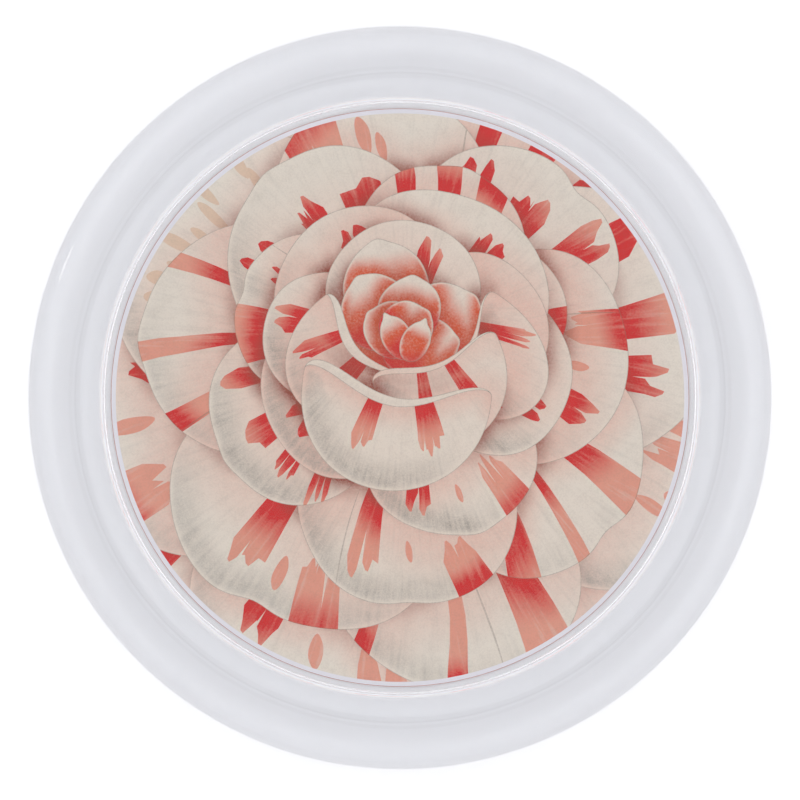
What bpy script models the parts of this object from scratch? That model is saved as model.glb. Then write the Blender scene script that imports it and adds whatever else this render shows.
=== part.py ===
"""Bottle coaster: a heavy, shallow glass dish with a printed paper disc glued under its floor.

Run it with: blender --background --python part.py
Units are metres, +Z is up, and the origin is the middle of the felt's underside, where it rests.
"""

import math

import bmesh
import bpy
from mathutils import Vector

# --- Driving dimensions -------------------------------------------------------------------------

DISH_RADIUS = 0.0635          # widest point of the rim, 127 mm (5 in) across
PRINT_RADIUS = 0.0504         # trimmed paper disc, its plain margin included
FLOOR_RADIUS = 0.0506         # flat inside floor, out to the foot of the inside wall

FELT_THICKNESS = 0.0010
PAPER_THICKNESS = 0.0003
GLUE_GAP = 0.0003             # the film of glue on each side of the paper
FLOOR_THICKNESS = 0.0060      # glass under the bottle

WALL_HEIGHT = 0.0070          # steep inside wall that keeps the bottle in place
WALL_LEAN = 0.0003            # how far that wall leans out on its way up
BEVEL_HEIGHT = 0.0025         # sloping band between the inside wall and the crest of the rim
CREST_RADIUS = 0.0545         # where the bevel meets the top of the rim
RIM_FALL = 0.0022             # how far the top of the rim drops from its crest to the outside
BELT_HEIGHT = 0.0065          # from the glass's underside to where its upright side begins
FOOT_INSET = 0.0015           # how far the outside narrows from there down to the base

FLOOR_CORNER = 0.0012         # radii of the profile's rounded corners, in order from the axis
WALL_TOP_CORNER = 0.0015
CREST_CORNER = 0.0030
OUTER_CORNER = 0.0050
BELT_CORNER = 0.0120
HEEL_CORNER = 0.0040

FELT_INSET = 0.0008           # the felt is cut this much smaller than the paper
FELT_EDGE_BEVEL = 0.0002

# --- Levels that follow from them ---------------------------------------------------------------

PAPER_BOTTOM = FELT_THICKNESS + GLUE_GAP
GLASS_BOTTOM = PAPER_BOTTOM + PAPER_THICKNESS + GLUE_GAP
FLOOR_TOP = GLASS_BOTTOM + FLOOR_THICKNESS
WALL_TOP = FLOOR_TOP + WALL_HEIGHT
CREST_TOP = WALL_TOP + BEVEL_HEIGHT

TURN_STEPS = 96                 # flats round each turned piece
ARC_STEP = math.radians(11.25)  # most that the profile turns between two of its points


# --- Tools --------------------------------------------------------------------------------------

def clear_scene():
    for obj in list(bpy.data.objects):
        bpy.data.objects.remove(obj, do_unlink=True)


def make_material(name, colour, roughness, metallic=0.0, transmission=0.0):
    material = bpy.data.materials.new(name)
    material.use_nodes = True
    shader = material.node_tree.nodes["Principled BSDF"]
    shader.inputs["Base Color"].default_value = (*colour, 1.0)
    shader.inputs["Roughness"].default_value = roughness
    shader.inputs["Metallic"].default_value = metallic
    shader.inputs["Transmission Weight"].default_value = transmission
    return material


def corner_arc(before, corner, after, radius):
    """Points (r, z) that round one corner of a profile, from the side of before to the side of after."""
    corner = Vector(corner)
    back = (Vector(before) - corner).normalized()
    ahead = (Vector(after) - corner).normalized()
    half_angle = back.angle(ahead) / 2
    centre = corner + (back + ahead).normalized() * (radius / math.sin(half_angle))
    reach = radius / math.tan(half_angle)

    spoke = corner + back * reach - centre
    last_spoke = corner + ahead * reach - centre
    start = math.atan2(spoke.y, spoke.x)
    sweep = math.remainder(math.atan2(last_spoke.y, last_spoke.x) - start, math.tau)
    steps = math.ceil(abs(sweep) / ARC_STEP)
    angles = [start + sweep * step / steps for step in range(steps + 1)]
    return [(centre.x + radius * math.cos(a), centre.y + radius * math.sin(a)) for a in angles]


def rounded(corners):
    """A profile of points (r, z) from corners (r, z, radius). The first and last stay sharp."""
    places = [(r, z) for r, z, _ in corners]
    profile = [places[0]]
    for index in range(1, len(corners) - 1):
        profile += corner_arc(*places[index - 1:index + 2], corners[index][2])
    return profile + [places[-1]]


def turned(name, profile, collection):
    """A solid of revolution about Z. The profile starts and ends on the axis and runs down its outside."""
    outline = bmesh.new()
    points = [outline.verts.new((r, 0.0, z)) for r, z in profile]
    for first, second in zip(points, points[1:]):
        outline.edges.new((first, second))
    mesh = bpy.data.meshes.new(name)
    outline.to_mesh(mesh)
    outline.free()

    obj = bpy.data.objects.new(name, mesh)
    collection.objects.link(obj)
    screw = obj.modifiers.new("Turn", "SCREW")
    screw.steps = TURN_STEPS
    screw.render_steps = TURN_STEPS
    screw.use_merge_vertices = True
    screw.merge_threshold = 0.00001
    screw.use_smooth_shade = True
    return obj


def disc(name, radius, thickness, bottom, collection):
    """A flat round sheet whose underside is at the height bottom."""
    bpy.ops.mesh.primitive_cylinder_add(
        vertices=TURN_STEPS, radius=radius, depth=thickness, location=(0.0, 0.0, bottom + thickness / 2)
    )
    obj = bpy.context.active_object
    obj.name = name
    obj.data.name = name
    for owner in list(obj.users_collection):
        owner.objects.unlink(obj)
    collection.objects.link(obj)
    return obj


# --- The glass ----------------------------------------------------------------------------------

def build_glass_dish(collection):
    """Half section: along the floor, up the inside wall and the bevel, over the rim, down and back under."""
    profile = rounded([
        (0.0, FLOOR_TOP, 0.0),
        (FLOOR_RADIUS, FLOOR_TOP, FLOOR_CORNER),
        (FLOOR_RADIUS + WALL_LEAN, WALL_TOP, WALL_TOP_CORNER),
        (CREST_RADIUS, CREST_TOP, CREST_CORNER),
        (DISH_RADIUS, CREST_TOP - RIM_FALL, OUTER_CORNER),
        (DISH_RADIUS, GLASS_BOTTOM + BELT_HEIGHT, BELT_CORNER),
        (DISH_RADIUS - FOOT_INSET, GLASS_BOTTOM, HEEL_CORNER),
        (0.0, GLASS_BOTTOM, 0.0),
    ])
    dish = turned("glass_dish", profile, collection)
    dish.data.materials.append(make_material("clear_glass", (0.95, 0.97, 1.0), 0.02, transmission=1.0))
    return dish


# --- What is glued under it -----------------------------------------------------------------------

def build_printed_paper(collection):
    paper = disc("printed_paper", PRINT_RADIUS, PAPER_THICKNESS, PAPER_BOTTOM, collection)
    paper.data.materials.append(make_material("printed_paper", (0.76, 0.55, 0.47), 0.55))
    return paper


def build_base_felt(collection):
    felt = disc("base_felt", PRINT_RADIUS - FELT_INSET, FELT_THICKNESS, 0.0, collection)
    bevel = felt.modifiers.new("Soft edge", "BEVEL")
    bevel.width = FELT_EDGE_BEVEL
    bevel.segments = 2
    bevel.limit_method = "ANGLE"
    felt.data.materials.append(make_material("cream_felt", (0.62, 0.58, 0.50), 0.95))
    return felt


def main():
    clear_scene()
    collection = bpy.data.collections.new("bottle_coaster")
    bpy.context.scene.collection.children.link(collection)

    stand = bpy.data.objects.new("coaster_origin", None)
    collection.objects.link(stand)
    for build in (build_glass_dish, build_printed_paper, build_base_felt):
        build(collection).parent = stand


main()
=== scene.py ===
"""Bottle coaster: the finish of the glass dish, the flower print under its floor and the felt base.

The flower is a made-up camellia, grown from a seed by a spiral of petals. Everything is in metres.
"""

import math
import random

import bmesh
import bpy
import numpy as np
from bpy.props import FloatProperty, FloatVectorProperty, IntProperty, PointerProperty
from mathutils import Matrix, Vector
from mathutils.geometry import delaunay_2d_cdt


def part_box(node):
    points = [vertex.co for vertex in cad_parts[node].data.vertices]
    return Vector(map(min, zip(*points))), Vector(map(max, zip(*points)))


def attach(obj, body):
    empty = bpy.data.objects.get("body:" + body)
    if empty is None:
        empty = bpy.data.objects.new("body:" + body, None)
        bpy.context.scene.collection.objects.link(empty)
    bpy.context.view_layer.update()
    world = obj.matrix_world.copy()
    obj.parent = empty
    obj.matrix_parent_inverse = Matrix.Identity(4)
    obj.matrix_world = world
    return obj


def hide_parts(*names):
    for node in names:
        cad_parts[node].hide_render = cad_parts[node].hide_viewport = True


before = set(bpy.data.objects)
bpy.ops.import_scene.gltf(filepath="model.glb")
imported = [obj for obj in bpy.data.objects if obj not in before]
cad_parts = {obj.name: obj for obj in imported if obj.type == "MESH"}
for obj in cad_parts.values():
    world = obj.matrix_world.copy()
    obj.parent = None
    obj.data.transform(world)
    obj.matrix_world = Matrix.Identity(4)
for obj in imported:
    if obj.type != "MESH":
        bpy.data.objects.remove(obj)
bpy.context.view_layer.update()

bl_info = {
    "name": "Glass Bottle Coaster",
    "version": (1, 0, 0),
    "blender": (4, 5, 0),
    "location": "3D View > Sidebar > Coaster",
    "description": "A shallow glass dish with a flower print and a felt base under it",
    "category": "Object",
}

GLASS_LOW, GLASS_HIGH = (Vector(corner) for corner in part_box("glass_dish"))
PAPER_LOW, PAPER_HIGH = (Vector(corner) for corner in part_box("printed_paper"))
FELT_LOW, FELT_HIGH = (Vector(corner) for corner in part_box("base_felt"))

MM = 0.001


# --- Settings -------------------------------------------------------------------------------------

def length(name, description, default):
    return FloatProperty(name=name, description=description, default=default, min=0.0, subtype="DISTANCE",
                         unit="LENGTH", precision=5)


def colour(name, description, red, green, blue):
    return FloatVectorProperty(name=name, description=description, default=(red, green, blue), size=3,
                               min=0.0, max=1.0, subtype="COLOR")


class CoasterGlassSettings(bpy.types.PropertyGroup):
    radius: length("Radius", "Widest point of the rim", GLASS_HIGH.x)
    floor_thickness: length("Floor thickness", "Glass under the bottle", 6.0 * MM)
    floor_radius: length("Floor radius", "Flat inside floor, out to the foot of the inside wall", 50.6 * MM)
    wall_height: length("Wall height", "Steep inside wall that keeps the bottle in place", 7.0 * MM)
    wall_lean: length("Wall lean", "How far that wall leans out on its way up", 0.3 * MM)
    bevel_height: length("Bevel height", "Sloping band between the inside wall and the crest", 2.5 * MM)
    crest_radius: length("Crest radius", "Where the bevel meets the top of the rim", 54.5 * MM)
    rim_fall: length("Rim fall", "How far the top of the rim drops towards the outside", 2.2 * MM)
    belt_height: length("Belt height", "From the underside to where the upright side begins", 6.5 * MM)
    foot_inset: length("Foot inset", "How far the outside narrows from there to the base", 1.5 * MM)
    floor_corner: length("Floor corner", "Rounding where the floor meets the inside wall", 1.2 * MM)
    wall_corner: length("Wall corner", "Rounding at the top of the inside wall", 1.5 * MM)
    crest_corner: length("Crest corner", "Rounding where the bevel meets the rim", 3.0 * MM)
    rim_corner: length("Rim corner", "Rounding of the rim's outer shoulder", 5.0 * MM)
    belt_corner: length("Belt corner", "Rounding where the side turns in towards the base", 12.0 * MM)
    heel_corner: length("Heel corner", "Rounding at the foot of the side", 4.0 * MM)
    tint: colour("Tint", "Colour the glass gives to light that passes through", 0.985, 0.988, 0.996)
    absorbed: colour("Absorption", "Colour left in light after a long way through glass", 0.80, 0.85, 0.95)
    density: FloatProperty(name="Density", description="How fast the glass takes up light, per metre",
                           default=5.0, min=0.0)
    ior: FloatProperty(name="IOR", description="How strongly the glass bends light", default=1.5, min=1.0)
    turn_steps: IntProperty(name="Turn steps", description="Flats round the dish", default=320, min=48)


class CoasterPrintSettings(bpy.types.PropertyGroup):
    radius: length("Radius", "Trimmed paper disc", PAPER_HIGH.x)
    margin: length("Margin", "Plain white paper round the picture", 1.20 * MM)
    # The cut line is a painted refraction: a brown ring at the paper's edge that stands for the print's edge
    # as the glass's floor corner bends it into view.
    refraction_line_width: length("Painted refraction line", "Brown line along the trimmed edge", 0.22 * MM)
    seed: IntProperty(name="Seed", description="Grows another flower", default=8, min=0)
    petal_count: IntProperty(name="Petals", description="Open petals in the spiral", default=27, min=8)
    cell: length("Cell", "Spacing of the points between the outlines", 0.62 * MM)
    cream: colour("Cream", "Bare petal", 0.930, 0.860, 0.735)
    blush: colour("Blush", "Pink towards the foot of a petal", 0.920, 0.655, 0.540)
    coral: colour("Coral", "Pale end of a stripe", 0.890, 0.390, 0.280)
    red: colour("Red", "Deep end of a stripe", 0.760, 0.018, 0.018)
    orange: colour("Orange", "Inside of the heart's petals", 0.800, 0.110, 0.030)
    grey: colour("Grey", "Pencil shading along the lower edges", 0.370, 0.340, 0.290)
    umber: colour("Umber", "Deep shadow where petals meet", 0.330, 0.065, 0.035)
    tan: colour("Tan", "Faint marks on the outermost petals", 0.800, 0.520, 0.320)
    pencil: colour("Pencil", "Fine outline round a petal", 0.260, 0.190, 0.130)
    white: colour("White", "Plain margin", 0.930, 0.920, 0.960)
    # Colour of that painted refraction of the print's edge.
    refraction_brown: colour("Brown", "Painted refraction line", 0.480, 0.150, 0.100)


class CoasterFeltSettings(bpy.types.PropertyGroup):
    radius: length("Radius", "Felt disc", FELT_HIGH.x)
    edge: length("Edge", "Rounding of the cut edge", 0.35 * MM)
    fibre_length: length("Fibre length", "Longest strands that show in the wool", 2.2 * MM)
    turn_steps: IntProperty(name="Turn steps", description="Flats round the felt", default=240, min=24)
    wool: colour("Wool", "Main colour of the felt", 0.560, 0.510, 0.420)
    fleck: colour("Fleck", "Darker fibres in it", 0.400, 0.350, 0.280)


class CoasterStageSettings(bpy.types.PropertyGroup):
    floor: colour("Floor", "Plain pale surface", 0.920, 0.920, 0.920)
    sky: colour("Sky", "Soft light from all round", 0.962, 0.968, 1.000)
    sky_strength: FloatProperty(name="Sky strength", description="Brightness of it", default=1.31, min=0.0)
    overhead: FloatProperty(name="Overhead", description="Brightness of the dim patch round the lens",
                            default=0.55, min=0.0)
    overhead_angle: FloatProperty(name="Overhead angle", description="Half width of the dim patch",
                                  default=math.radians(4.75), min=0.0, unit="ROTATION", subtype="ANGLE")
    lamp_power: FloatProperty(name="Lamp power", description="Each of the two wide soft lamps", default=0.8,
                              min=0.0, unit="POWER")
    glint_power: FloatProperty(name="Glint power", description="Small low lamp that makes the rim glint",
                               default=0.15, min=0.0, unit="POWER")
    patch_edge: FloatProperty(name="Patch edge", description="Where the dim patch ends, in half widths",
                              default=1.08, min=1.0)
    rim_height: length("Rim height", "From the underside of the glass up to its widest point", 8.5 * MM)
    camera_height: length("Camera height", "From the widest point of the rim up to the lens", 600 * MM)
    frame_width: length("Frame width", "Width seen at the widest point of the rim", 136.9 * MM)
    shift: FloatProperty(name="Shift", description="Slides the picture up a little", default=-0.003)


# --- Mesh tools -----------------------------------------------------------------------------------

def add_object(name, mesh, cad_node, material):
    """Put a finished mesh in the scene in place of the frame's plain node."""
    piece = bpy.data.objects.new(name, mesh)
    bpy.context.scene.collection.objects.link(piece)
    mesh.materials.append(material)
    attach(piece, "root")
    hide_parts(cad_node)


def corner_arc(before, corner, after, radius, step):
    """Points (r, z) that round one corner of a profile, from the side of before to the side of after."""
    corner = Vector(corner)
    back = (Vector(before) - corner).normalized()
    ahead = (Vector(after) - corner).normalized()
    half_angle = back.angle(ahead) / 2
    centre = corner + (back + ahead).normalized() * (radius / math.sin(half_angle))
    reach = radius / math.tan(half_angle)

    spoke = corner + back * reach - centre
    last_spoke = corner + ahead * reach - centre
    start = math.atan2(spoke.y, spoke.x)
    sweep = math.remainder(math.atan2(last_spoke.y, last_spoke.x) - start, math.tau)
    steps = math.ceil(abs(sweep) / step)
    angles = [start + sweep * i / steps for i in range(steps + 1)]
    return [(centre.x + radius * math.cos(a), centre.y + radius * math.sin(a)) for a in angles]


def rounded(corners, step=math.radians(4)):
    """A profile of points (r, z) from corners (r, z, radius). The first and last stay sharp."""
    places = [(r, z) for r, z, _ in corners]
    profile = [places[0]]
    for index in range(1, len(corners) - 1):
        profile += corner_arc(*places[index - 1:index + 2], corners[index][2], step)
    return profile + [places[-1]]


def spun(name, profile, steps):
    """A closed solid of revolution about Z from a half section that starts and ends on the axis."""
    work = bmesh.new()
    points = [work.verts.new((r, 0.0, z)) for r, z in profile]
    for first, second in zip(points, points[1:]):
        work.edges.new((first, second))
    bmesh.ops.spin(work, geom=work.verts[:] + work.edges[:], cent=(0, 0, 0), axis=(0, 0, 1),
                   angle=math.tau, steps=steps, use_merge=True)
    bmesh.ops.remove_doubles(work, verts=work.verts, dist=1e-6)
    bmesh.ops.recalc_face_normals(work, faces=work.faces)
    for face in work.faces:
        face.smooth = True
    mesh = bpy.data.meshes.new(name)
    work.to_mesh(mesh)
    work.free()
    return mesh


# --- Node tools -----------------------------------------------------------------------------------

def new_material(name, **values):
    """A material with a Principled shader, its uniform values set on the shader's own sockets."""
    material = bpy.data.materials.new(name)
    material.use_nodes = True
    shader = material.node_tree.nodes["Principled BSDF"]
    for socket, value in values.items():
        shader.inputs[socket.replace("_", " ")].default_value = value
    return material, material.node_tree, shader


def node(tree, kind, **settings):
    """A new shader node with these of its settings."""
    made = tree.nodes.new(kind)
    for key, value in settings.items():
        setattr(made, key, value)
    return made


def mix_colours(tree, amount, first, second):
    """first, turning into second where amount is 1. Each may be a socket or a plain colour."""
    mixer = node(tree, "ShaderNodeMix", data_type="RGBA", clamp_factor=True)
    for socket, value in ((mixer.inputs[0], amount), (mixer.inputs[6], first), (mixer.inputs[7], second)):
        if isinstance(value, bpy.types.NodeSocket):
            tree.links.new(value, socket)
        else:
            socket.default_value = (*value, 1.0)
    return mixer.outputs[2]


def calculate(tree, operation, *values, clamp=False):
    """The result of a Math node. Each value may be a socket or a plain number."""
    maths = node(tree, "ShaderNodeMath", operation=operation, use_clamp=clamp)
    for socket, value in zip(maths.inputs, values):
        if isinstance(value, bpy.types.NodeSocket):
            tree.links.new(value, socket)
        else:
            socket.default_value = value
    return maths.outputs[0]


def grain_group():
    """Shared grain: fine specks over softer patches, as a value round 1 and as a height round 0."""
    name = "Fine grain"
    if name in bpy.data.node_groups:
        return bpy.data.node_groups[name]
    group = bpy.data.node_groups.new(name, "ShaderNodeTree")
    for socket, kind in (("Vector", "NodeSocketVector"), ("Fineness", "NodeSocketFloat"),
                         ("Amount", "NodeSocketFloat")):
        group.interface.new_socket(socket, in_out="INPUT", socket_type=kind)
    for socket in ("Value", "Height"):
        group.interface.new_socket(socket, in_out="OUTPUT", socket_type="NodeSocketFloat")
    given, result = group.nodes.new("NodeGroupInput"), group.nodes.new("NodeGroupOutput")

    specks = node(group, "ShaderNodeTexNoise")
    specks.inputs["Detail"].default_value = 3.0
    specks.inputs["Roughness"].default_value = 0.65
    patches = node(group, "ShaderNodeTexNoise")
    patches.inputs["Detail"].default_value = 2.0
    for texture in (specks, patches):
        group.links.new(given.outputs["Vector"], texture.inputs["Vector"])
    group.links.new(given.outputs["Fineness"], specks.inputs["Scale"])
    group.links.new(calculate(group, "MULTIPLY", given.outputs["Fineness"], 0.16), patches.inputs["Scale"])

    soft = calculate(group, "MULTIPLY", patches.outputs["Fac"], 0.5)
    height = calculate(group, "SUBTRACT", calculate(group, "ADD", specks.outputs["Fac"], soft), 0.75)
    value = calculate(group, "ADD", calculate(group, "MULTIPLY", height, given.outputs["Amount"]), 1.0)
    group.links.new(value, result.inputs["Value"])
    group.links.new(height, result.inputs["Height"])
    return group


def add_grain(tree, fineness, amount):
    """Place the shared grain on object coordinates, and give back its value and its height."""
    place = node(tree, "ShaderNodeTexCoord")
    grain = node(tree, "ShaderNodeGroup", node_tree=grain_group())
    grain.inputs["Fineness"].default_value = fineness
    grain.inputs["Amount"].default_value = amount
    tree.links.new(place.outputs["Object"], grain.inputs["Vector"])
    return grain.outputs["Value"], grain.outputs["Height"]


def add_bump(tree, shader, height, strength, distance):
    """Raise the shader's surface by a height."""
    bump = node(tree, "ShaderNodeBump")
    bump.inputs["Strength"].default_value = strength
    bump.inputs["Distance"].default_value = distance
    tree.links.new(height, bump.inputs["Height"])
    tree.links.new(bump.outputs["Normal"], shader.inputs["Normal"])


# --- Glass ----------------------------------------------------------------------------------------

def glass_material(s):
    material, tree, shader = new_material("Clear cast glass", Base_Color=(*s.tint, 1.0), Roughness=0.0,
                                          IOR=s.ior, Metallic=0.0, Transmission_Weight=1.0)
    _, ripples = add_grain(tree, 130.0, 1.0)
    add_bump(tree, shader, ripples, 0.05, 0.05 * MM)
    absorption = node(tree, "ShaderNodeVolumeAbsorption")
    absorption.inputs["Color"].default_value = (*s.absorbed, 1.0)
    absorption.inputs["Density"].default_value = s.density
    tree.links.new(absorption.outputs[0], tree.nodes["Material Output"].inputs["Volume"])
    return material


class COASTER_OT_glass_dish(bpy.types.Operator):
    """Turn the glass dish: flat floor, steep inside wall, bevel and thick rounded rim"""
    bl_idname = "coaster.glass_dish"
    bl_label = "Glass Dish"

    def execute(self, context):
        s = context.scene.coaster_glass
        bottom = GLASS_LOW.z
        floor = bottom + s.floor_thickness
        wall_top = floor + s.wall_height
        crest = wall_top + s.bevel_height
        profile = rounded([
            (0.0, floor, 0.0),
            (s.floor_radius, floor, s.floor_corner),
            (s.floor_radius + s.wall_lean, wall_top, s.wall_corner),
            (s.crest_radius, crest, s.crest_corner),
            (s.radius, crest - s.rim_fall, s.rim_corner),
            (s.radius, bottom + s.belt_height, s.belt_corner),
            (s.radius - s.foot_inset, bottom, s.heel_corner),
            (0.0, bottom, 0.0),
        ])
        add_object("dish_glass", spun("dish_glass", profile, s.turn_steps), "glass_dish",
                   glass_material(s))
        return {"FINISHED"}


# --- The flower's design, in units of the picture's radius ----------------------------------------

GOLDEN_ANGLE = math.pi * (3 - math.sqrt(5))
HEART = np.array((0.02, 0.20))
FIRST_REACH, LAST_REACH = 0.58, 1.52        # from the heart to the tips of the first and last open petals
SQUASH, STRETCH = 0.80, 1.14                # the flower is tilted: shorter above the heart, longer below
TO_SHADE = np.array((-0.62, -0.78))         # drawn as if lit from the upper right


def turned(points, angle):
    """Points turned about the origin."""
    c, s = math.cos(angle), math.sin(angle)
    return np.asarray(points) @ np.array(((c, s), (-s, c)))


def unevenness(t, rng, size, terms=(2, 3, 5)):
    """A slow random wave over t, up to about size high."""
    total = np.zeros_like(t)
    for n in terms:
        total += size / n * rng.uniform(0.3, 1.0) * np.sin(n * t + rng.uniform(0, math.tau))
    return total


def smooth(low, high, value):
    """0 below low, 1 above high and a soft step between. low may be the larger of the two."""
    t = np.clip((value - low) / (high - low), 0.0, 1.0)
    return t * t * (3 - 2 * t)


class Petal:
    """An outline, the foot that its stripes run out from, and how it is shaded."""

    def __init__(self, kind, middle, heading, size, wide, rng, notch=0.0):
        self.kind, self.heading = kind, heading
        t = np.linspace(0, math.tau, 150, endpoint=False)
        from_tip = (t + math.pi) % math.tau - math.pi
        radius = size * (1 + unevenness(t, rng, 0.065) - notch * np.exp(-(from_tip / 0.20) ** 2))
        outline = np.stack((radius * np.cos(t), radius * wide * np.sin(t)), 1)
        self.outline = turned(outline, heading) + middle
        self.way = np.array((math.cos(heading), math.sin(heading)))
        self.foot = middle - 1.15 * size * self.way
        self.length = 2.15 * size
        self.bend = rng.uniform(-0.12, 0.12)
        self.blush, self.blush_reach = rng.uniform(0.25, 0.95), rng.uniform(0.10, 0.22)
        self.grey = rng.uniform(0.35, 1.0)
        self.crevice = rng.uniform(0.3, 1.0)
        self.stripes = []                   # (outline, which end is deep or what it is, how deep its red is)

    def place(self, across, along):
        """From across, -1 to 1, and along, 0 at the foot and 1 at the tip, to the flat picture."""
        across, along = np.broadcast_arrays(np.asarray(across, float), np.asarray(along, float))
        angle = self.heading + 0.62 * across + self.bend * along ** 2
        spoke = np.stack((np.cos(angle), np.sin(angle)), -1)
        return self.foot + self.length * along[..., None] * spoke


def flame(petal, left, right, start, end, tongues, rng):
    """A stripe from start to end along the petal, split at its far end into ragged tongues."""
    way = math.copysign(1.0, end - start)
    span = right - left
    steps = np.linspace(start, end - way * 0.09, 10)
    drift = unevenness(steps * 3, rng, 0.03)
    cuts = [(i + 1 + rng.uniform(-0.18, 0.18)) / tongues for i in range(tongues - 1)]
    points = list(zip(left + drift, steps))
    for first, last in zip([0.0] + cuts, cuts + [1.0]):
        wide = last - first
        tip = end + way * rng.uniform(-0.055, 0.035)
        lean = first + wide * rng.uniform(0.30, 0.70)
        points += [
            (left + span * (lean - 0.30 * wide), tip - way * rng.uniform(0.020, 0.050)),
            (left + span * (lean - 0.10 * wide), tip - way * 0.004),
            (left + span * (lean + 0.06 * wide), tip),
            (left + span * (lean + 0.26 * wide), tip - way * rng.uniform(0.025, 0.070)),
        ]
        if last < 1.0:
            slit = end - way * rng.uniform(0.09, 0.24)
            points += [
                (left + span * (last - 0.05 * wide), slit + way * 0.050),
                (left + span * last, slit),
                (left + span * (last + 0.06 * wide), slit + way * 0.065),
            ]
    points += list(zip(right + drift, steps))[::-1]
    across, along = np.array(points).T
    return petal.place(across, along)


def band(petal, left, right, start, end, rng):
    """A plain stripe with both edges running along the petal."""
    along = np.linspace(start, end, 14)
    drift = unevenness(along * 3, rng, 0.04)
    across = np.concatenate((left + drift, (right + drift)[::-1]))
    return petal.place(across, np.concatenate((along, along[::-1])))


def fold(petal, across, rng):
    """A fine crease that runs in from the rim and curves away."""
    along = np.linspace(0.45, 0.97, 14)
    left = across + rng.uniform(-0.45, 0.45) * (1 - along) ** 1.3
    wide = 0.016 * np.sin(math.pi * np.linspace(0, 1, 14)) ** 0.6
    return petal.place(np.concatenate((left, (left + wide)[::-1][1:-1])),
                       np.concatenate((along, along[::-1][1:-1])))


def dash(petal, across, along, rng):
    """A short brush mark."""
    t = np.linspace(0, math.tau, 20, endpoint=False)
    long, wide = rng.uniform(0.045, 0.085), rng.uniform(0.035, 0.065)
    skew = rng.uniform(-0.3, 0.3)
    return petal.place(across + wide * (np.sin(t) + skew * np.cos(t)),
                       along + long * np.cos(t) * (1 + 0.15 * np.sin(2 * t)))


WAYS = ("flames", "flames", "flames", "fan", "rim", "bands", "mixed", "mixed")  # repeats are likelier


def paint_stripes(petal, faint, rng):
    """Deal one of six ways of striping to an open petal, of which the outer half shows."""
    def add(shape, deep_end, depth):
        petal.stripes.append((shape, deep_end, depth))

    way = "faint" if faint else rng.choice(WAYS)
    side = rng.choice((-1, 1))
    if way == "faint":
        for across in (-0.62, -0.30, 0.02, 0.34, 0.66):
            for along in (0.70, 0.80):
                mark = dash(petal, across + rng.uniform(-0.1, 0.1), along + rng.uniform(-0.03, 0.05), rng)
                add(mark, "tan", 0.0)
    elif way == "flames":
        at = rng.uniform(-0.95, -0.70)
        while at < 0.75:
            wide = rng.uniform(0.20, 0.46)
            add(flame(petal, at, at + wide, 0.12, rng.uniform(0.80, 0.97), rng.choice((1, 2, 2, 3)), rng),
                "foot", rng.uniform(0.8, 1.0))
            at += wide + rng.uniform(0.16, 0.42)
    elif way == "fan":
        near, far = sorted((side * 0.12, side * rng.uniform(0.75, 1.05)))
        add(band(petal, near, far, 0.05, 1.3, rng), "foot", rng.uniform(0.85, 1.0))
        at = -side * rng.uniform(0.30, 0.55)
        add(flame(petal, at - 0.14, at + 0.14, 0.12, rng.uniform(0.78, 0.92), 2, rng), "foot", 0.8)
    elif way == "rim":
        left = rng.uniform(-0.5, 0.25)
        wide = rng.uniform(0.30, 0.52)
        add(flame(petal, left, left + wide, 1.3, rng.uniform(0.58, 0.70), rng.choice((2, 3)), rng),
            "rim", rng.uniform(0.6, 1.0))
        at = left - 0.32 if left > -0.1 else left + wide + 0.24
        add(dash(petal, at, 0.76, rng), "even", 0.0)
        add(dash(petal, at + 0.14, 0.82, rng), "even", 0.0)
    elif way == "bands":
        for left in (-0.75, -0.20, 0.36):
            left += rng.uniform(-0.1, 0.1)
            add(band(petal, left, left + rng.uniform(0.10, 0.34), 0.05, 1.3, rng),
                rng.choice(("foot", "foot", "rim")), rng.uniform(0.8, 1.0))
    else:
        left = rng.uniform(-0.80, -0.40)
        add(flame(petal, left, left + 0.32, 0.12, rng.uniform(0.78, 0.92), 2, rng), "foot",
            rng.uniform(0.85, 1.0))
        right = rng.uniform(0.16, 0.40)
        add(flame(petal, right, right + 0.34, 1.3, rng.uniform(0.62, 0.74), rng.choice((2, 3)), rng),
            "rim", rng.uniform(0.5, 1.0))
        add(dash(petal, (left + right) / 2 + 0.16, rng.uniform(0.72, 0.82), rng), "even", 0.0)


def open_petals(count, rng):
    """The spiral of open petals, lowest first."""
    petals = []
    for k in range(count):
        heading = k * GOLDEN_ANGLE + rng.uniform(-0.09, 0.09) + 0.4
        reach = FIRST_REACH + (LAST_REACH - FIRST_REACH) * (k / (count - 1)) ** 0.92
        size = 0.41 * min(reach, 0.6 + 0.4 * reach) * rng.uniform(0.92, 1.06)
        rise = math.sin(heading)
        out = np.array((math.cos(heading), rise * (STRETCH if rise < 0 else SQUASH)))
        petal = Petal("open", HEART + out * (reach - size), math.atan2(out[1], out[0]), size,
                      rng.uniform(1.05, 1.2), rng, notch=rng.choice((0.0, 0.04, 0.08, -0.04)))
        paint_stripes(petal, reach > 1.1 and rng.random() < 0.25, rng)
        if rng.random() < 0.5:
            petal.stripes.append((fold(petal, rng.uniform(-0.8, 0.8), rng), "fold", 0.0))
        petals.append(petal)
    return petals[::-1]


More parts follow.
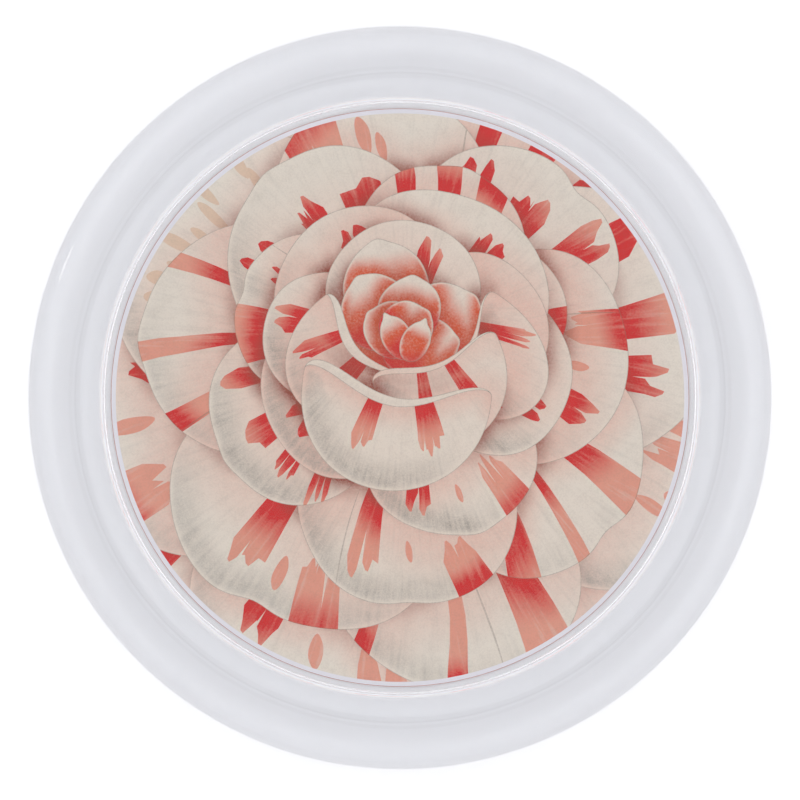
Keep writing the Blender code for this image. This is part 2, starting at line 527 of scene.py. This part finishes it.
CUPS = (                        # angle in degrees, distance, size and breadth
    (222, 0.30, 0.28, 1.10),
    (338, 0.33, 0.28, 1.05),
    (58, 0.27, 0.31, 1.20),
    (128, 0.26, 0.28, 1.10),
    (6, 0.25, 0.25, 1.15),
    (178, 0.27, 0.23, 1.05),
    (92, 0.20, 0.24, 1.15),
)
CLOSED = (                      # across, up, heading and size
    (-0.030, 0.010, 2.05, 0.082),
    (0.034, -0.004, 1.15, 0.076),
)
BOWLS = (                       # across, up, half width, depth, tilt, then sag and lip in shares of depth
    (0.205, -0.015, 0.215, 0.33, 0.98, 0.10, 0.09),
    (-0.150, -0.020, 0.225, 0.30, -0.88, 0.12, 0.10),
    (0.110, -0.085, 0.235, 0.29, 0.42, 0.06, 0.11),
    (-0.030, -0.170, 0.335, 0.36, -0.13, 0.16, 0.13),
)


def cup_petals(rng):
    """Half-open petals behind the bud."""
    petals = []
    for angle, distance, size, wide in CUPS:
        heading = math.radians(angle)
        middle = HEART + distance * np.array((math.cos(heading), 0.9 * math.sin(heading)))
        petal = Petal("open", middle, heading, size, wide, rng)
        left = rng.uniform(-0.60, 0.0)
        stripe = flame(petal, left, left + rng.uniform(0.30, 0.50), 0.2, rng.uniform(0.86, 0.97), 2, rng)
        petal.stripes.append((stripe, "foot", 0.9))
        petals.append(petal)
    return petals


def heart_petals(rng):
    """The bud: a tight spiral of small pointed petals, and two closed ones in the middle of it."""
    petals = []
    for k in range(8):
        share = k / 7
        heading = 1.75 + k * GOLDEN_ANGLE + rng.uniform(-0.25, 0.25)
        distance = 0.165 * (1 - share) ** 0.7
        size = 0.175 - 0.075 * share
        middle = HEART + np.array((distance * math.cos(heading), 0.045 + 0.85 * distance * math.sin(heading)))
        upright = heading + 0.45 * math.remainder(math.pi / 2 - heading, math.tau)
        petals.append(Petal("heart", middle, upright, size, rng.uniform(0.82, 1.02), rng, notch=-0.06))
    for across, up, heading, size in CLOSED:
        petals.append(Petal("heart", HEART + np.array((across, up)), heading, size, 0.66, rng, notch=-0.20))
    return petals


def bowl_petals(rng):
    """Front petals curled up round the bud, with round shoulders, a sagging top edge and a turned lip."""
    petals = []
    t = np.linspace(0, 1, 90)
    arch, sway = np.sin(math.pi * t), np.cos(math.pi * t)
    for across, up, wide, deep, tilt, sag, lip in BOWLS:
        centre = HEART + np.array((across, up))
        shoulder, skew = rng.uniform(0.20, 0.28), rng.uniform(-0.30, 0.30)
        x = -sway * wide
        top = deep * (shoulder * (1 + skew * sway) * arch ** 0.55 - (sag + 0.7 * shoulder) * arch ** 4)
        belly = -deep * arch ** 0.9 * (1 + 0.12 * skew * sway)
        petal = Petal("open", centre, 1.5 * math.pi + tilt, 0.55 * deep, 1.0, rng)
        petal.outline = turned(closed_between(x, top, belly), tilt) + centre
        petal.foot = centre + turned((0.0, 0.75 * deep), tilt)
        petal.length, petal.bend = 1.78 * deep, 0.0
        at = rng.uniform(-0.62, -0.30)
        while at < 0.50:
            broad = rng.uniform(0.22, 0.36)
            stripe = flame(petal, at, at + broad, 0.35, rng.uniform(0.76, 0.92), rng.choice((2, 3)), rng)
            petal.stripes.append((stripe, "foot", rng.uniform(0.85, 1.0)))
            at += broad + rng.uniform(0.30, 0.60)
        petals.append(petal)
        edge = Petal("lip", centre, 1.5 * math.pi + tilt, 0.1, 1.0, rng)
        under = top - lip * deep * arch ** 1.3 * (1 + 0.6 * np.cos(math.pi * t + 2.4 * skew))
        edge.outline = turned(closed_between(x, top, under), tilt) + centre
        edge.grey, edge.crevice = 0.25, 0.0
        petals.append(edge)
    return petals


def closed_between(x, upper, lower):
    """The outline of the strip between two curves that meet at both ends."""
    return np.concatenate((np.stack((x, upper), 1), np.stack((x, lower), 1)[::-1][1:-1]))


def design_flower(seed, count):
    """Every petal, lowest first."""
    rng = random.Random(seed)
    return open_petals(count, rng) + cup_petals(rng) + heart_petals(rng) + bowl_petals(rng)


# --- From the design to a sheet of paper ----------------------------------------------------------

LINE_WIDTH = 0.0034             # the pencil line, in units of the picture's radius
GLUED_IN = 0.02 * MM            # the inked side is in the glass by this much, as glue leaves no air there
RING_POINTS = 720               # round the edge of the picture and the paper
CORAL, RED, BLUSH, ORANGE = range(4)        # channels of the attribute "pigment"
GREY, UMBER, PENCIL, TAN = range(4)         # channels of "shading"
# The second channel of border marks the painted refraction of the print's edge.
WHITE, REFRACTION = range(2)                     # channels of "border"


def inside(points, outline):
    """Which points lie in a closed outline, by counting crossings."""
    found = np.zeros(len(points), bool)
    low, high = outline.min(0), outline.max(0)
    near = np.flatnonzero(((points >= low) & (points <= high)).all(1))
    if not len(near):
        return found
    x, y = points[near, 0, None], points[near, 1, None]
    first, second = outline, np.roll(outline, -1, 0)
    spans = (first[:, 1] > y) != (second[:, 1] > y)
    rise = second[:, 1] - first[:, 1]
    slope = (second[:, 0] - first[:, 0]) / np.where(rise == 0, 1e-12, rise)
    found[near] = (spans & (x < first[:, 0] + slope * (y - first[:, 1]))).sum(1) % 2 == 1
    return found


def nearest_on(points, outline):
    """Distance from each point to a closed outline, and the direction to its nearest place."""
    first = outline
    along = np.roll(outline, -1, 0) - first
    squared = np.maximum((along ** 2).sum(1), 1e-18)
    offset = points[:, None] - first
    share = np.clip((offset * along).sum(2) / squared, 0, 1)
    away = first + share[..., None] * along - points[:, None]
    distances = np.sqrt((away ** 2).sum(2))
    best = distances.argmin(1)
    rows = np.arange(len(points))
    distance = distances[rows, best]
    return distance, away[rows, best] / np.maximum(distance, 1e-9)[:, None]


def inset(outline, width):
    """The same outline moved in by width, for the inner side of a drawn line."""
    tangent = np.roll(outline, -1, 0) - np.roll(outline, 1, 0)
    normal = np.stack((-tangent[:, 1], tangent[:, 0]), 1)
    normal /= np.maximum(np.linalg.norm(normal, axis=1), 1e-12)[:, None]
    x, y = outline.T
    area = (x * np.roll(y, -1) - np.roll(x, -1) * y).sum()
    return outline + math.copysign(width, area) * normal


class Drawing:
    """Points and lines for the triangulation, kept inside the disc and where they can be seen."""

    def __init__(self):
        self.points, self.lines = [], []

    def add(self, start, end):
        self.lines.append((len(self.points), len(self.points) + 1))
        self.points += [start, end]

    def add_outline(self, outline, shown):
        """The segments of a closed outline that have an end where shown is true."""
        after = np.roll(outline, -1, 0)
        for start, end, first, second in zip(outline, after, shown, np.roll(shown, -1)):
            if first or second:
                clipped = clip_to_disc(start, end)
                if clipped:
                    self.add(*clipped)


def clip_to_disc(start, end):
    """The part of a segment inside the unit circle, or None."""
    outer = [np.linalg.norm(p) > 1 for p in (start, end)]
    if all(outer):
        return None
    if not any(outer):
        return start, end
    keep, cut = (end, start) if outer[0] else (start, end)
    step = cut - keep
    a, b, c = step @ step, keep @ step, keep @ keep - 1
    return keep, keep + step * (-b + math.sqrt(b * b - a * c)) / a


def partition(petals, cell, borders):
    """Triangulate the disc along every outline that shows, and along the rings in borders round it."""
    drawing = Drawing()
    for rank, petal in enumerate(petals):
        above = petals[rank + 1:]
        for outline in (petal.outline, inset(petal.outline, LINE_WIDTH)):
            hidden = np.any([inside(outline, other.outline) for other in above], 0) if above else \
                np.zeros(len(outline), bool)
            drawing.add_outline(outline, ~hidden)
        for shape, _, _ in petal.stripes:
            hidden = ~inside(shape, petal.outline)
            for other in above:
                hidden |= inside(shape, other.outline)
            drawing.add_outline(shape, ~hidden)

    angles = np.linspace(0, math.tau, RING_POINTS, endpoint=False)
    for radius in (1.0, *borders):
        first = len(drawing.points)
        drawing.points += list(radius * np.stack((np.cos(angles), np.sin(angles)), 1))
        drawing.lines += [(first + i, first + (i + 1) % RING_POINTS) for i in range(RING_POINTS)]

    rows = np.arange(-1, 1, cell * math.sqrt(0.75))
    columns = np.arange(-1, 1, cell)
    grid = np.array([(x + (i % 2) * cell / 2, y) for i, y in enumerate(rows) for x in columns])
    drawing.points += list(grid[np.linalg.norm(grid, axis=1) < 1 - cell / 2])

    places = [Vector(place) for place in drawing.points]
    points, _, triangles, *_ = delaunay_2d_cdt(places, drawing.lines, [], 0, 1e-6)
    return np.array([tuple(p) for p in points]), np.array(triangles)


def topmost(centres, petals):
    """For each place, the rank of the highest petal over it, or -1 for bare paper and the margin."""
    rank = np.full(len(centres), -1)
    for index, petal in enumerate(petals):
        rank[inside(centres, petal.outline)] = index
    rank[np.linalg.norm(centres, axis=1) > 1] = -1
    return rank


def distances_under(points, petals, rank, limit=0.40):
    """How far each point of a petal is from the two nearest of the petals above it, and the side it is on."""
    nearest = np.full((len(points), 2), limit)
    side = np.zeros((len(points), 2))
    for index, other in enumerate(petals[rank + 1:]):
        if other.kind == "lip" and index > 0:
            continue
        low, high = other.outline.min(0) - limit, other.outline.max(0) + limit
        close = np.flatnonzero(((points > low) & (points < high)).all(1))
        if not len(close):
            continue
        distance, towards = nearest_on(points[close], other.outline)
        first = distance < nearest[close, 0]
        second = ~first & (distance < nearest[close, 1])
        nearest[close[first], 1] = nearest[close[first], 0]
        nearest[close[first], 0] = distance[first]
        side[close[first]] = towards[first]
        nearest[close[second], 1] = distance[second]
    return nearest[:, 0], nearest[:, 1], side


def strokes_on(petal, rank, points):
    """Coordinates that follow a petal: the bearing from its foot, how far along it is, and its own number."""
    spoke = points - petal.foot
    bearing = np.arctan2(spoke @ turned(petal.way, math.pi / 2), spoke @ petal.way)
    along = np.linalg.norm(spoke, axis=1) / petal.length
    return np.stack((bearing, along, np.full(len(points), 0.7 * rank)), 1)


def paint_stripe(stripe, petal, centres, mine, corner, under, edge, pigment, shading):
    """Lay one stripe, mark or crease over the triangles of its petal."""
    outline, deep_end, depth = stripe
    striped = inside(centres[mine], outline)
    if deep_end in ("tan", "fold"):
        shading[mine[striped], :, TAN if deep_end == "tan" else PENCIL] = 0.6
        return
    reach = min(0.20 * petal.length, 0.19)
    if deep_end == "foot":
        deep = smooth(reach, 0.0, under)
    elif deep_end == "rim":
        deep = smooth(0.75 * reach, 0.01, edge)
    else:
        deep = np.zeros_like(edge)
    pigment[mine[striped], :, CORAL] = 1.0
    pigment[mine[striped], :, RED] = np.minimum(1.16 * depth * deep[corner[striped]], 1.0)


def paint(petals, points, triangles):
    """The attributes pigment, shading and strokes at each triangle's corners."""
    centres = points[triangles].mean(1)
    ranks = topmost(centres, petals)
    pigment, shading, strokes = (np.zeros((len(triangles), 3, 4)) for _ in range(3))
    for rank, petal in enumerate(petals):
        mine = np.flatnonzero(ranks == rank)
        if not len(mine):
            continue
        used, corner = np.unique(triangles[mine], return_inverse=True)
        corner = corner.reshape(len(mine), 3)
        edge, outward = nearest_on(points[used], petal.outline)
        under, second, side = distances_under(points[used], petals, rank)
        low_side = outward @ TO_SHADE
        lit_from = smooth(-0.4, 0.9, side @ -TO_SHADE)
        strokes[mine, :, :3] = strokes_on(petal, rank, points[used])[corner]

        near_heart = smooth(0.90, 0.40, np.linalg.norm(points[used] - HEART, axis=1))
        crevice = smooth(0.070, 0.0, under) * smooth(0.100, 0.005, second) * (0.35 + 0.65 * near_heart)
        umber = crevice * petal.crevice + 0.12 * smooth(0.012, 0.0, under) * (0.15 + 0.85 * lit_from)
        if petal.kind == "heart":
            along = (points[used] - petal.foot) @ petal.way / petal.length
            bowl = np.maximum(smooth(0.93, 0.60, along), smooth(0.075, 0.0, under))
            pigment[mine, :, ORANGE] = (0.95 * bowl * smooth(0.0, 0.010, edge))[corner]
            pigment[mine, :, RED] = (0.85 * smooth(0.66, 0.40, along) * smooth(0.085, 0.0, under))[corner]
            umber *= 0.5
        else:
            rim = smooth(0.0, 0.022, edge) * smooth(0.135, 0.030, edge)
            foot = smooth(petal.blush_reach, 0.0, under)
            pigment[mine, :, BLUSH] = (petal.blush * foot)[corner]
            shading[mine, :, GREY] = (0.44 * petal.grey * rim * smooth(-0.1, 0.9, low_side))[corner]
        shading[mine, :, UMBER] = np.clip(umber, 0, 1)[corner]
        shading[mine, :, PENCIL] = smooth(LINE_WIDTH, 0.0, edge)[corner]

        for stripe in petal.stripes:
            paint_stripe(stripe, petal, centres, mine, corner, under, edge, pigment, shading)
    return pigment, shading, strokes


def paper_mesh(name, s):
    """A closed disc whose top is cut along the drawing, with the paint at its corners."""
    petals = design_flower(s.seed, s.petal_count)
    picture = s.radius - s.margin
    borders = ((s.radius - s.refraction_line_width) / picture, s.radius / picture)
    points, triangles = partition(petals, s.cell / picture, borders)
    corners = points[triangles]
    area = np.cross(corners[:, 1] - corners[:, 0], corners[:, 2] - corners[:, 0])
    triangles[area < 0] = triangles[area < 0][:, ::-1]
    pigment, shading, strokes = paint(petals, points, triangles)
    distance = np.linalg.norm(points[triangles].mean(1), axis=1)
    border = np.zeros((len(triangles), 3, 4))
    border[distance > 1, :, WHITE] = 1.0
    # The outermost ring is painted brown: a painted refraction of the print's edge, as the glass's floor
    # corner would show it.
    border[distance > borders[0], :, REFRACTION] = 1.0

    top = GLASS_LOW.z + GLUED_IN
    places = np.column_stack((points * picture, np.full(len(points), top)))
    sheet = bpy.data.meshes.new(name)
    sheet.from_pydata(places.tolist(), [], triangles.tolist())
    for attribute, values in (("pigment", pigment), ("shading", shading), ("strokes", strokes),
                              ("border", border)):
        layer = sheet.attributes.new(attribute, "FLOAT_COLOR", "CORNER")
        layer.data.foreach_set("color", values.ravel().astype(np.float32))

    work = bmesh.new()
    work.from_mesh(sheet)
    rim = [edge for edge in work.edges if edge.is_boundary]
    walls = bmesh.ops.extrude_edge_only(work, edges=rim)["geom"]
    lower = [v for v in walls if isinstance(v, bmesh.types.BMVert)]
    bmesh.ops.translate(work, verts=lower, vec=(0, 0, PAPER_LOW.z - top))
    bmesh.ops.contextual_create(work, geom=[edge for edge in work.edges if edge.is_boundary])
    bmesh.ops.recalc_face_normals(work, faces=work.faces)
    work.to_mesh(sheet)
    work.free()
    return sheet


def brush_hairs(tree):
    """Fine streaks that run along each petal, as a value from 0 to 1."""
    strokes = node(tree, "ShaderNodeAttribute", attribute_name="strokes")
    stretch = node(tree, "ShaderNodeMapping")
    stretch.inputs["Scale"].default_value = (45.0, 3.5, 9.0)
    hairs = node(tree, "ShaderNodeTexNoise")
    hairs.inputs["Scale"].default_value = 1.0
    hairs.inputs["Detail"].default_value = 3.0
    tree.links.new(strokes.outputs["Vector"], stretch.inputs["Vector"])
    tree.links.new(stretch.outputs["Vector"], hairs.inputs["Vector"])
    return hairs.outputs["Fac"]


def print_material(s):
    """The picture: each ink or shade is laid over the last, through its mask and a grain."""
    material, tree, shader = new_material("Flower print", Roughness=0.6, Specular_IOR_Level=0.3)
    channels = {}
    for name in ("pigment", "shading", "border"):
        attribute = node(tree, "ShaderNodeAttribute", attribute_name=name)
        split = node(tree, "ShaderNodeSeparateColor")
        tree.links.new(attribute.outputs["Color"], split.inputs[0])
        channels[name] = (*split.outputs[:3], attribute.outputs["Alpha"])
    ink, shade, border = channels["pigment"], channels["shading"], channels["border"]

    def times(*values, clamp=False):
        return calculate(tree, "MULTIPLY", *values, clamp=clamp)

    stipple, height = add_grain(tree, 3600.0, 2.2)
    tooth, _ = add_grain(tree, 2600.0, 0.9)
    wash, _ = add_grain(tree, 700.0, 0.45)
    dust, _ = add_grain(tree, 3000.0, 0.4)
    hairs = brush_hairs(tree)
    streaks = calculate(tree, "ADD", times(hairs, 1.5), 0.32)
    veins = times(calculate(tree, "SUBTRACT", hairs, 0.50, clamp=True), 0.45)
    specks = calculate(tree, "SUBTRACT", dust, 0.97, clamp=True)

    base = s.cream
    for mask, over in (
        (times(ink[BLUSH], tooth, clamp=True), s.blush),
        (veins, s.grey),
        (times(shade[GREY], times(stipple, streaks), clamp=True), s.grey),
        (shade[TAN], s.tan),
        (times(ink[CORAL], times(wash, streaks), clamp=True), s.coral),
        (times(ink[ORANGE], tooth, clamp=True), s.orange),
        (times(ink[RED], times(tooth, streaks), clamp=True), s.red),
        (times(shade[UMBER], tooth, clamp=True), s.umber),
        (times(times(shade[PENCIL], 0.6), stipple, clamp=True), s.pencil),
        (specks, s.pencil),
        (border[WHITE], s.white),
        # Painted refraction of the print's edge, in brown along the paper's rim.
        (times(border[REFRACTION], wash, clamp=True), s.refraction_brown),
    ):
        base = mix_colours(tree, mask, base, over)
    tree.links.new(base, shader.inputs["Base Color"])
    add_bump(tree, shader, height, 0.15, 0.02 * MM)
    return material


class COASTER_OT_flower_print(bpy.types.Operator):
    """Draw the striped flower on its paper disc and put it under the glass"""
    bl_idname = "coaster.flower_print"
    bl_label = "Flower Print"

    def execute(self, context):
        s = context.scene.coaster_print
        add_object("flower_print", paper_mesh("flower_print", s), "printed_paper",
                   print_material(s))
        return {"FINISHED"}


# --- Felt -----------------------------------------------------------------------------------------

def strands(tree, heading, fibre_length):
    """Thin strands that lie mostly along heading, as a value from 0 to 1."""
    place = node(tree, "ShaderNodeTexCoord")
    turn = node(tree, "ShaderNodeMapping")
    turn.inputs["Rotation"].default_value = (0.0, 0.0, heading)
    turn.inputs["Scale"].default_value = (1.0, 9.0, 4.0)
    strand = node(tree, "ShaderNodeTexNoise")
    strand.inputs["Scale"].default_value = 1.0 / fibre_length
    strand.inputs["Detail"].default_value = 2.0
    strand.inputs["Distortion"].default_value = 0.6
    tree.links.new(place.outputs["Object"], turn.inputs["Vector"])
    tree.links.new(turn.outputs["Vector"], strand.inputs["Vector"])
    return strand.outputs["Fac"]


def felt_material(s):
    material, tree, shader = new_material("Wool felt", Roughness=0.95, Sheen_Weight=0.35, Sheen_Roughness=0.5)
    wool = strands(tree, 0.3, s.fibre_length)
    for heading in (1.2, 2.0, 2.9):
        wool = calculate(tree, "MAXIMUM", wool, strands(tree, heading, s.fibre_length))
    tufts, _ = add_grain(tree, 420.0, 0.5)
    gaps = calculate(tree, "MULTIPLY_ADD", wool, -3.6, 2.75)
    gaps = calculate(tree, "MULTIPLY", gaps, tufts, clamp=True)
    tree.links.new(mix_colours(tree, gaps, s.wool, s.fleck), shader.inputs["Base Color"])
    add_bump(tree, shader, wool, 0.8, 0.30 * MM)
    return material


class COASTER_OT_base_felt(bpy.types.Operator):
    """Cut the felt disc that covers the back of the print"""
    bl_idname = "coaster.base_felt"
    bl_label = "Base Felt"

    def execute(self, context):
        s = context.scene.coaster_felt
        profile = rounded([
            (0.0, FELT_HIGH.z, 0.0),
            (s.radius, FELT_HIGH.z, s.edge),
            (s.radius, FELT_LOW.z, s.edge),
            (0.0, FELT_LOW.z, 0.0),
        ], math.radians(15))
        mesh = spun("wool_felt", profile, s.turn_steps)
        add_object("wool_felt", mesh, "base_felt", felt_material(s))
        return {"FINISHED"}


# --- Stage ----------------------------------------------------------------------------------------

LAMPS = (                       # name, place and size in metres, and the setting that gives its power
    ("left_lamp", (-0.70, 0.35, 0.75), 1.0, "lamp_power"),
    ("right_lamp", (0.80, 0.20, 0.80), 1.0, "lamp_power"),
    ("glint_lamp", (-0.87, 0.35, 0.34), 0.1, "glint_power"),
)
FLOOR_REACH = 2.0               # half the side of the floor


def add_lamp(name, place, size, power):
    """A square lamp that faces the coaster."""
    light = bpy.data.lights.new(name, "AREA")
    light.size, light.energy = size, power
    lamp = bpy.data.objects.new(name, light)
    lamp.location = place
    lamp.rotation_euler = (-Vector(place)).to_track_quat("-Z", "Y").to_euler()
    bpy.context.scene.collection.objects.link(lamp)


class COASTER_OT_stage(bpy.types.Operator):
    """Lay the pale floor, hang the soft lamps and look straight down on the coaster"""
    bl_idname = "coaster.stage"
    bl_label = "Stage"

    def execute(self, context):
        s = context.scene.coaster_stage
        scene = context.scene
        work = bmesh.new()
        bmesh.ops.create_grid(work, x_segments=1, y_segments=1, size=FLOOR_REACH)
        mesh = bpy.data.meshes.new("floor")
        work.to_mesh(mesh)
        work.free()
        floor = bpy.data.objects.new("floor", mesh)
        scene.collection.objects.link(floor)
        material, _, _ = new_material("Pale floor", Base_Color=(*s.floor, 1.0), Roughness=0.8)
        mesh.materials.append(material)

        world = bpy.data.worlds.new("Soft daylight")
        scene.world = world
        world.use_nodes = True
        sky = world.node_tree
        background = sky.nodes["Background"]
        background.inputs["Color"].default_value = (*s.sky, 1.0)
        direction = node(sky, "ShaderNodeTexCoord")
        split = node(sky, "ShaderNodeSeparateXYZ")
        strength = node(sky, "ShaderNodeMapRange", interpolation_type="SMOOTHSTEP")
        strength.inputs["From Min"].default_value = math.cos(s.patch_edge * s.overhead_angle)
        strength.inputs["From Max"].default_value = math.cos(s.overhead_angle)
        strength.inputs["To Min"].default_value = s.sky_strength
        strength.inputs["To Max"].default_value = s.overhead
        sky.links.new(direction.outputs["Generated"], split.inputs[0])
        sky.links.new(split.outputs["Z"], strength.inputs["Value"])
        sky.links.new(strength.outputs[0], background.inputs["Strength"])
        for name, place, size, power in LAMPS:
            add_lamp(name, place, size, getattr(s, power))

        lens = bpy.data.cameras.new("camera")
        lens.sensor_width = 36.0
        lens.lens = lens.sensor_width * s.camera_height / s.frame_width
        lens.shift_y = s.shift
        camera = bpy.data.objects.new("camera", lens)
        camera.location = (0.0, 0.0, GLASS_LOW.z + s.rim_height + s.camera_height)
        scene.collection.objects.link(camera)
        scene.camera = camera
        scene.view_settings.view_transform = "Standard"
        return {"FINISHED"}


# --- Panel and registration -----------------------------------------------------------------------

class COASTER_PT_panel(bpy.types.Panel):
    """Lists the coaster's pieces"""
    bl_idname = "COASTER_PT_panel"
    bl_label = "Glass Bottle Coaster"
    bl_space_type = "VIEW_3D"
    bl_region_type = "UI"
    bl_category = "Coaster"

    def draw(self, context):
        for operator, settings in PIECES:
            box = self.layout.box()
            box.operator(operator.bl_idname)
            group = getattr(context.scene, settings)
            for name in group.__annotations__:
                box.prop(group, name)


PIECES = (
    (COASTER_OT_glass_dish, "coaster_glass"),
    (COASTER_OT_flower_print, "coaster_print"),
    (COASTER_OT_base_felt, "coaster_felt"),
    (COASTER_OT_stage, "coaster_stage"),
)
SETTINGS = {
    "coaster_glass": CoasterGlassSettings,
    "coaster_print": CoasterPrintSettings,
    "coaster_felt": CoasterFeltSettings,
    "coaster_stage": CoasterStageSettings,
}
CLASSES = (*SETTINGS.values(), *(operator for operator, _ in PIECES), COASTER_PT_panel)


def register():
    for cls in CLASSES:
        bpy.utils.register_class(cls)
    for name, settings in SETTINGS.items():
        setattr(bpy.types.Scene, name, PointerProperty(type=settings))


def unregister():
    for name in SETTINGS:
        delattr(bpy.types.Scene, name)
    for cls in reversed(CLASSES):
        bpy.utils.unregister_class(cls)


def main():
    register()
    bpy.ops.coaster.glass_dish()
    bpy.ops.coaster.flower_print()
    bpy.ops.coaster.base_felt()
    bpy.ops.coaster.stage()


if __name__ == "__main__":
    main()
